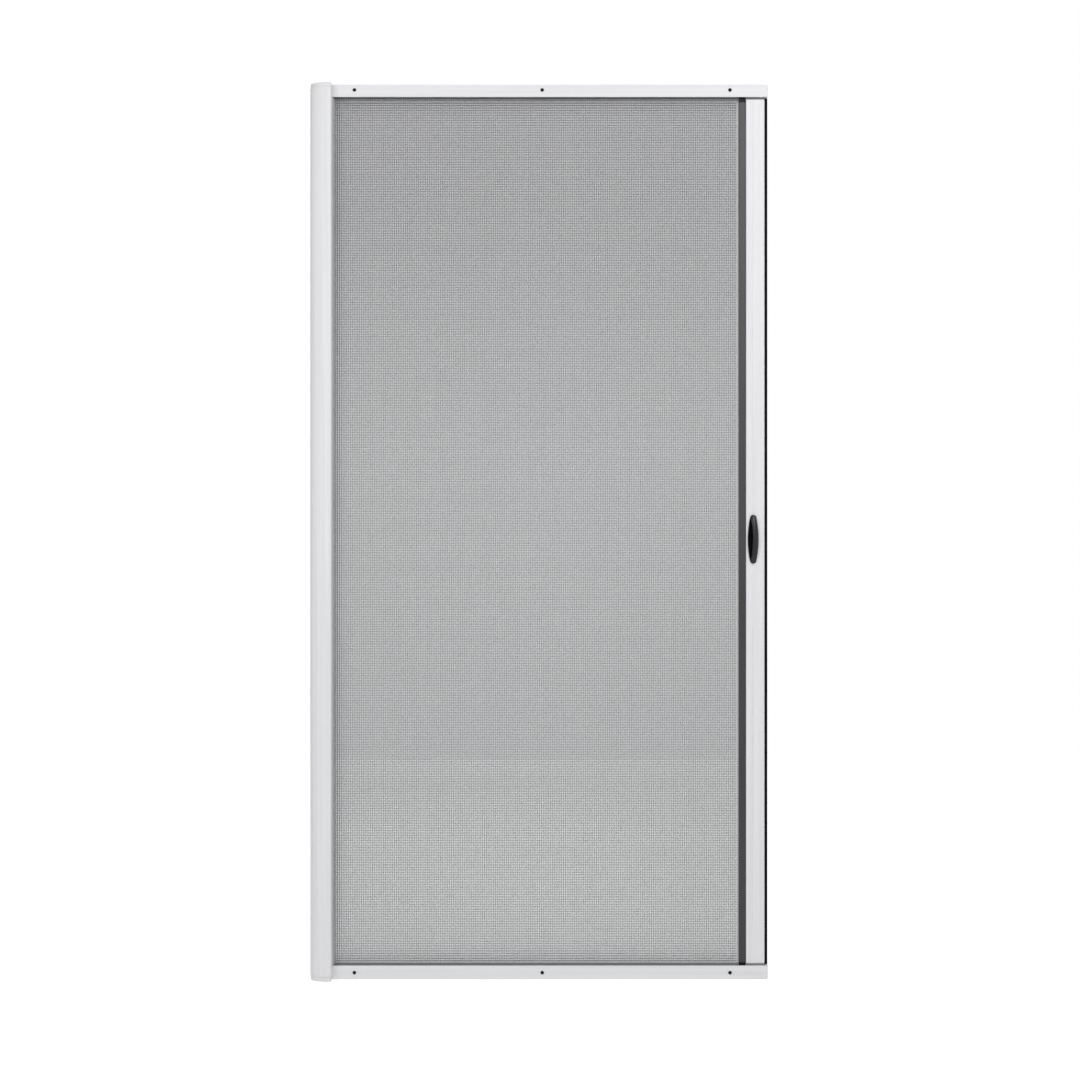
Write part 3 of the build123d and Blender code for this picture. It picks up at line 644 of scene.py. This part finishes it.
class TuftPiles(bpy.types.Operator):
    """Tuft the pile strips of the tracks and the brushes of the housing's slot"""

    bl_idname = "screen_door.tuft_piles"
    bl_label = "Piles and brushes"
    # The thickness of the woven backing, and the share of its room that a tip strays by.
    back_depth = 1.0 * MM
    straying = 0.6

    def execute(self, context):
        pile = settings(context, "pile")
        finishes = settings(context, "finishes")
        # Crimped polypropylene fibre, cut level: each tuft is a little lighter or darker than the next,
        # with a soft bloom.
        # The white pile is drawn paler than the fibre to lift the shade inside the tracks: partly painted
        # light.
        white, grey = [
            grained_finish(
                f"polypropylene_{cut}_cut", rgb, shades=(0.6, 1.35), cloud=(1.2 * MM, (1, 1, 1)),
                grain=(0.8 * MM, (1, 1, 1)), roughness=(0.8, 0.9), relief=0.1 * MM, IOR=1.49,
                Sheen_Weight=0.25,
            )
            for cut, rgb in (("pile", finishes.pile), ("brush", finishes.brush))
        ]
        # The backing is woven of the same fibre: flat, matt and a shade darker.
        backing = ribbed_tape("polypropylene_backing_woven", finishes.pile_back, (0.82, 1.12), 0.9 * MM)
        for end in ("top", "bottom"):
            for place, side in (("front", -1), ("rear", 1)):
                self.track_strip(f"{end}_track_{place}_pile", pile, side, white, backing)
        for place, side in (("front", -1), ("rear", 1)):
            self.slot_brush(f"slot_brush_{place}", pile, side, grey, backing)
        return {"FINISHED"}

    def tufts(self, roots, tips, width, lean, seed):
        """Four-sided tufts that taper from roots to tips; both have the shape tufts, 3."""
        random = np.random.default_rng(seed)
        tips = tips + random.uniform(-lean, lean, tips.shape)
        run = tips - roots
        run /= np.linalg.norm(run, axis=1, keepdims=True)
        # A section is squared on a guide that the tuft doesn't run along: X where it is steep, or Z.
        steep = np.abs(run[:, 2:3]) > 0.8
        guide = np.where(steep, [[1.0, 0, 0]], [[0, 0, 1.0]])
        first = np.cross(run, guide)
        first /= np.linalg.norm(first, axis=1, keepdims=True)
        second = np.cross(run, first)
        rings = []
        ways = (first, second, -first, -second)
        # A tuft keeps most of its width up to its middle and has a third of it at its tip.
        for centre, size in ((roots, 1.0), ((roots + tips) / 2, 0.9), (tips, 0.35)):
            half = size * width / 2
            rings.append(np.stack([centre + half * way for way in ways], axis=1))
        return np.stack(rings, axis=1)

    def strip(self, name, back_box, rings, fibre, backing):
        """A backing ribbon with its tufts, in the place of a CAD strip."""
        parts = prism_mesh(f"{name}_tufts", rings), box_mesh(f"{name}_back", *back_box)
        mesh = joined_mesh(name, *parts)
        piece = new_piece(f"{name}_tufted", mesh, "frame", "grey_pile", fibre, backing)
        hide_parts(name)

    def track_strip(self, name, pile, side, fibre, backing):
        """Pile that stands across a track's channel up to the cloth; side is -1 on the room side."""
        low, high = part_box(name)
        wall_y = low.y if side < 0 else high.y
        back_y = wall_y - side * self.back_depth
        width = high.z - low.z
        count = int((high.x - low.x - pile.tuft_width) / pile.tuft_spacing)
        stations = np.linspace(low.x + pile.tuft_width, high.x - pile.tuft_width, count)
        # The rows leave this share of the width free on either side.
        margin = 0.22
        shares = margin + (1 - 2 * margin) * (np.arange(pile.rows) + 0.5) / pile.rows
        heights = low.z + width * shares
        x, z = np.meshgrid(stations, heights, indexing="ij")
        x = x + (np.arange(pile.rows) % 2)[None, :] * pile.tuft_spacing / 2
        roots = np.stack([x, np.full_like(x, back_y), z], axis=2).reshape(-1, 3)
        cloth_low, cloth_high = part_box("screen_mesh")
        reach = (cloth_low.y + cloth_high.y) / 2 + side * pile.tuft_lean
        middle = (low.z + high.z) / 2
        flared = middle + (z - middle) * pile.flare
        tips = np.stack([x, np.full_like(x, reach), flared], axis=2).reshape(-1, 3)
        rings = self.tufts(roots, tips, pile.tuft_width, pile.tuft_lean * self.straying, seed=3)
        back = ((low.x, min(wall_y, back_y), low.z), (high.x, max(wall_y, back_y), high.z))
        self.strip(name, back, rings, fibre, backing)

    def slot_brush(self, name, pile, side, fibre, backing):
        """Brush that leans out of the housing's slot towards the screen."""
        low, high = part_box(name)
        # The backing's width and how much of it holds tufts. However far it strays, a tip keeps the gap
        # to the face of the CAD strip.
        back_width = 6.0 * MM
        rooted_width = 3.4 * MM
        tip_gap = 0.3 * MM
        wall_y, tip_y = (low.y, high.y) if side < 0 else (high.y, low.y)
        back_y = wall_y - side * self.back_depth
        back_x = low.x + back_width
        count = int((high.z - low.z - pile.tuft_width) / pile.tuft_spacing)
        stations = np.linspace(low.z + pile.tuft_width, high.z - pile.tuft_width, count)
        across = back_x - rooted_width * (np.arange(pile.rows) + 0.5) / pile.rows
        z, x = np.meshgrid(stations, across, indexing="ij")
        z = z + (np.arange(pile.rows) % 2)[None, :] * pile.tuft_spacing / 2
        roots = np.stack([x, np.full_like(x, back_y), z], axis=2).reshape(-1, 3)
        reach = x + (high.x - back_x) - pile.tuft_lean
        tip_depth = tip_y + side * (pile.tuft_lean + tip_gap)
        tips = np.stack([reach, np.full_like(x, tip_depth), z], axis=2).reshape(-1, 3)
        rings = self.tufts(roots, tips, pile.tuft_width, pile.tuft_lean * self.straying, seed=5)
        back = ((low.x, min(wall_y, back_y), low.z), (back_x, max(wall_y, back_y), high.z))
        self.strip(name, back, rings, fibre, backing)


class DriveTrackScrews(bpy.types.Operator):
    """Drive a black screw into each hole of the tracks"""

    bl_idname = "screen_door.drive_track_screws"
    bl_label = "Track screws"

    def execute(self, context):
        hardware = settings(context, "hardware")
        # Cold-headed steel with baked black enamel: near black, with a soft glint on the head's edge.
        finish = grained_finish(
            "steel_enamelled_black", settings(context, "finishes").screw, shades=(0.7, 1.3),
            cloud=(2 * MM, (1, 1, 1)), grain=(0.4 * MM, (1, 1, 1)), roughness=(0.35, 0.5),
            relief=0.01 * MM, IOR=1.5, Specular_IOR_Level=0.16,
        )
        corners = MOUNTS["track_screw_corners"]
        centre = Vector(corners["pos_m"])
        half_x = corners["dims"]["spacing_x_mm"] / 2 * MM
        half_z = corners["dims"]["spacing_y_mm"] / 2 * MM
        track_low, track_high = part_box("top_track")
        screw = self.screw_mesh(hardware, track_high.y - track_low.y)
        every = bmesh.new()
        for level in (-1, 1):
            for place in (-1, 0, 1):
                spot = (centre.x + place * half_x, track_low.y, centre.z + level * half_z)
                # Each screw stopped at its own angle.
                angle = 0.3 + 0.7 * place + level
                moved = screw.copy()
                moved.transform(Matrix.Translation(spot) @ Matrix.Rotation(angle, 4, "Y"))
                every.from_mesh(moved)
                bpy.data.meshes.remove(moved)
        mesh = bpy.data.meshes.new("track_screws")
        every.to_mesh(mesh)
        every.free()
        bpy.data.meshes.remove(screw)
        new_piece("track_screws", mesh, "frame", "pin_steel", finish)
        return {"FINISHED"}

    def screw_mesh(self, hardware, depth):
        """Pan head with a cross recess and its shank; the head sits on y = 0, facing -Y."""
        radius, rise = hardware.head_radius, hardware.head_height
        # From the top of the domed head, round its rim and down the shank.
        outline = (
            (0, -rise), (radius * 0.55, -rise * 0.97), (radius * 0.82, -rise * 0.8),
            (radius * 0.96, -rise * 0.45), (radius, -rise * 0.15), (radius, 0),
            (hardware.shank_radius, 0), (hardware.shank_radius, depth), (0, depth),
        )
        body = turned_mesh("screw_body", outline, facets=32)
        # The cutter is a cross, which stands as far out of the head as the recess is deep.
        half_span = radius * 1.1 / 2
        half_slot = hardware.recess_width / 2
        quarter = ((half_span, half_slot), (half_slot, half_slot), (half_slot, half_span))
        cross = [*quarter, *((-x, z) for x, z in quarter[::-1])]
        cross += [(-x, -z) for x, z in cross]
        levels = (-rise + hardware.recess_depth, -rise - hardware.recess_depth)
        cutter = prism_mesh("screw_cross", np.array([[[(x, y, z) for x, z in cross] for y in levels]]))
        holder = bpy.data.objects.new("screw_holder", body)
        tool = bpy.data.objects.new("screw_tool", cutter)
        for thing in (holder, tool):
            bpy.context.scene.collection.objects.link(thing)
        cut = holder.modifiers.new("recess", "BOOLEAN")
        cut.operation = "DIFFERENCE"
        cut.object = tool
        bpy.context.view_layer.update()
        ready = holder.evaluated_get(bpy.context.evaluated_depsgraph_get())
        result = bpy.data.meshes.new_from_object(ready)
        for thing in (holder, tool):
            bpy.data.objects.remove(thing)
        for mesh in (body, cutter):
            bpy.data.meshes.remove(mesh)
        return result


class SetStage(bpy.types.Operator):
    """Set the floor, the lamps, the even light and the camera"""

    bl_idname = "screen_door.set_stage"
    bl_label = "Stage"

    def execute(self, context):
        stage = settings(context, "stage")
        scene = context.scene
        scene.view_settings.view_transform = "Standard"
        self.floor(stage)
        self.world(scene, stage)
        self.lamp("key_lamp", stage.key_place, stage.key_power, aim=1.1, size=(1.4, 1.8))
        self.lamp("fill_lamp", stage.fill_place, stage.fill_power, aim=1.2, size=(2.0, 1.4))
        self.lamp("back_lamp", stage.back_place, stage.back_power, aim=1.0, size=(2.6, 2.6))
        tracks_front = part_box("top_track")[0].y
        data = bpy.data.cameras.new("camera")
        data.sensor_width = 36.0
        data.lens = data.sensor_width * stage.distance / stage.field
        camera = bpy.data.objects.new("camera", data)
        camera.location = (stage.camera_shift, tracks_front - stage.distance, stage.eye_height)
        camera.rotation_euler = (math.pi / 2, 0, 0)
        scene.collection.objects.link(camera)
        scene.camera = camera
        return {"FINISHED"}

    def floor(self, stage):
        """Plain pale floor below the sill."""
        reach = 6.0
        corners = ((-reach, -reach), (reach, -reach), (reach, reach), (-reach, reach))
        mesh = bpy.data.meshes.new("floor")
        mesh.from_pydata([(x, y, -stage.floor_drop) for x, y in corners], [], [(0, 1, 2, 3)])
        floor = bpy.data.objects.new("floor", mesh)
        bpy.context.scene.collection.objects.link(floor)
        material, tree, place = new_material("floor_paint_matt")
        # Matt emulsion on a smooth floor: pale and even, with clouds a hand wide that barely show.
        cloud_width = 0.125
        noise = add_node(tree, "ShaderNodeTexNoise", {"Vector": place, "Scale": 1 / cloud_width})
        shades = {
            MIX_SHARE: noise.outputs[0],
            MIX_FIRST: opaque(stage.floor, 0.99), MIX_SECOND: opaque(stage.floor, 1.01),
        }
        mix = add_node(tree, "ShaderNodeMix", shades, data_type="RGBA")
        # The lamps light the floor less and less from 3 m outwards, so more white is added there.
        near_end, far_end = 3.0, 5.5
        away = add_node(tree, "ShaderNodeVectorMath", {0: place}, operation="LENGTH")
        steps = {
            "Value": away.outputs["Value"], "From Min": near_end, "From Max": far_end,
            "To Min": stage.near_glow, "To Max": stage.far_glow,
        }
        added = add_node(tree, "ShaderNodeMapRange", steps).outputs[0]
        shown = {0: self.seen_rays(tree), 1: added}
        glow = add_node(tree, "ShaderNodeMath", shown, operation="MULTIPLY")
        shade(tree, {
            "Base Color": mix.outputs[MIX_RESULT], "Roughness": 0.9, "IOR": 1.5,
            "Emission Color": (1, 1, 1, 1), "Emission Strength": glow.outputs[0],
        })
        mesh.materials.append(material)

    def world(self, scene, stage):
        """Even light, seen by the camera and in reflections and glass as plain white."""
        world = bpy.data.worlds.new("studio")
        world.use_nodes = True
        tree = world.node_tree
        tree.nodes.clear()
        white = (1, 1, 1, 1)
        lit = add_node(tree, "ShaderNodeBackground", {"Color": white, "Strength": stage.ambient})
        seen = add_node(tree, "ShaderNodeBackground", {"Color": white, "Strength": 1.0})
        both = {0: self.seen_rays(tree), 1: lit.outputs[0], 2: seen.outputs[0]}
        mixed = add_node(tree, "ShaderNodeMixShader", both)
        add_node(tree, "ShaderNodeOutputWorld", {"Surface": mixed.outputs[0]})
        scene.world = world

    def seen_rays(self, tree):
        """1 for rays from the camera, from a reflection or through glass."""
        rays = add_node(tree, "ShaderNodeLightPath").outputs
        either = {0: rays["Is Camera Ray"], 1: rays["Is Glossy Ray"]}
        either = add_node(tree, "ShaderNodeMath", either, operation="MAXIMUM").outputs[0]
        shown = {0: either, 1: rays["Is Transmission Ray"]}
        return add_node(tree, "ShaderNodeMath", shown, operation="MAXIMUM").outputs[0]

    def lamp(self, name, place, power, aim, size):
        """A soft lamp of a width and height; aim is the height on the door that it faces."""
        data = bpy.data.lights.new(name, "AREA")
        data.shape = "RECTANGLE"
        data.size, data.size_y = size
        data.energy = power
        lamp = bpy.data.objects.new(name, data)
        lamp.location = place
        way = Vector((0, 0, aim)) - Vector(place)
        lamp.rotation_euler = way.to_track_quat("-Z", "Y").to_euler()
        bpy.context.scene.collection.objects.link(lamp)


OPERATORS = (
    SetStage, CoatExtrusions, FinishMouldings, FinishEdges, FinishRoller, WeaveScreen, TuftPiles,
    DriveTrackScrews,
)


class ScreenDoorPanel(bpy.types.Panel):
    """Lists the steps that dress the screen door"""

    bl_idname = "VIEW3D_PT_screen_door"
    bl_label = "Screen Door"
    bl_space_type = "VIEW_3D"
    bl_region_type = "UI"
    bl_category = "Screen Door"

    def draw(self, context):
        for operator in OPERATORS:
            self.layout.operator(operator.bl_idname)
        for key, group in GROUPS.items():
            box = self.layout.box()
            for name in group.__annotations__:
                box.prop(getattr(context.scene, key), name)


def register():
    for group in (*GROUPS.values(), *OPERATORS, ScreenDoorPanel):
        bpy.utils.register_class(group)
    for key, group in GROUPS.items():
        setattr(bpy.types.Scene, key, PointerProperty(type=group))


def unregister():
    for key in GROUPS:
        delattr(bpy.types.Scene, key)
    for group in reversed((*GROUPS.values(), *OPERATORS, ScreenDoorPanel)):
        bpy.utils.unregister_class(group)


def main():
    """Register the classes and dress the door in order."""
    register()
    for operator in OPERATORS:
        section, name = operator.bl_idname.split(".")
        getattr(getattr(bpy.ops, section), name)()


if __name__ == "__main__":
    main()
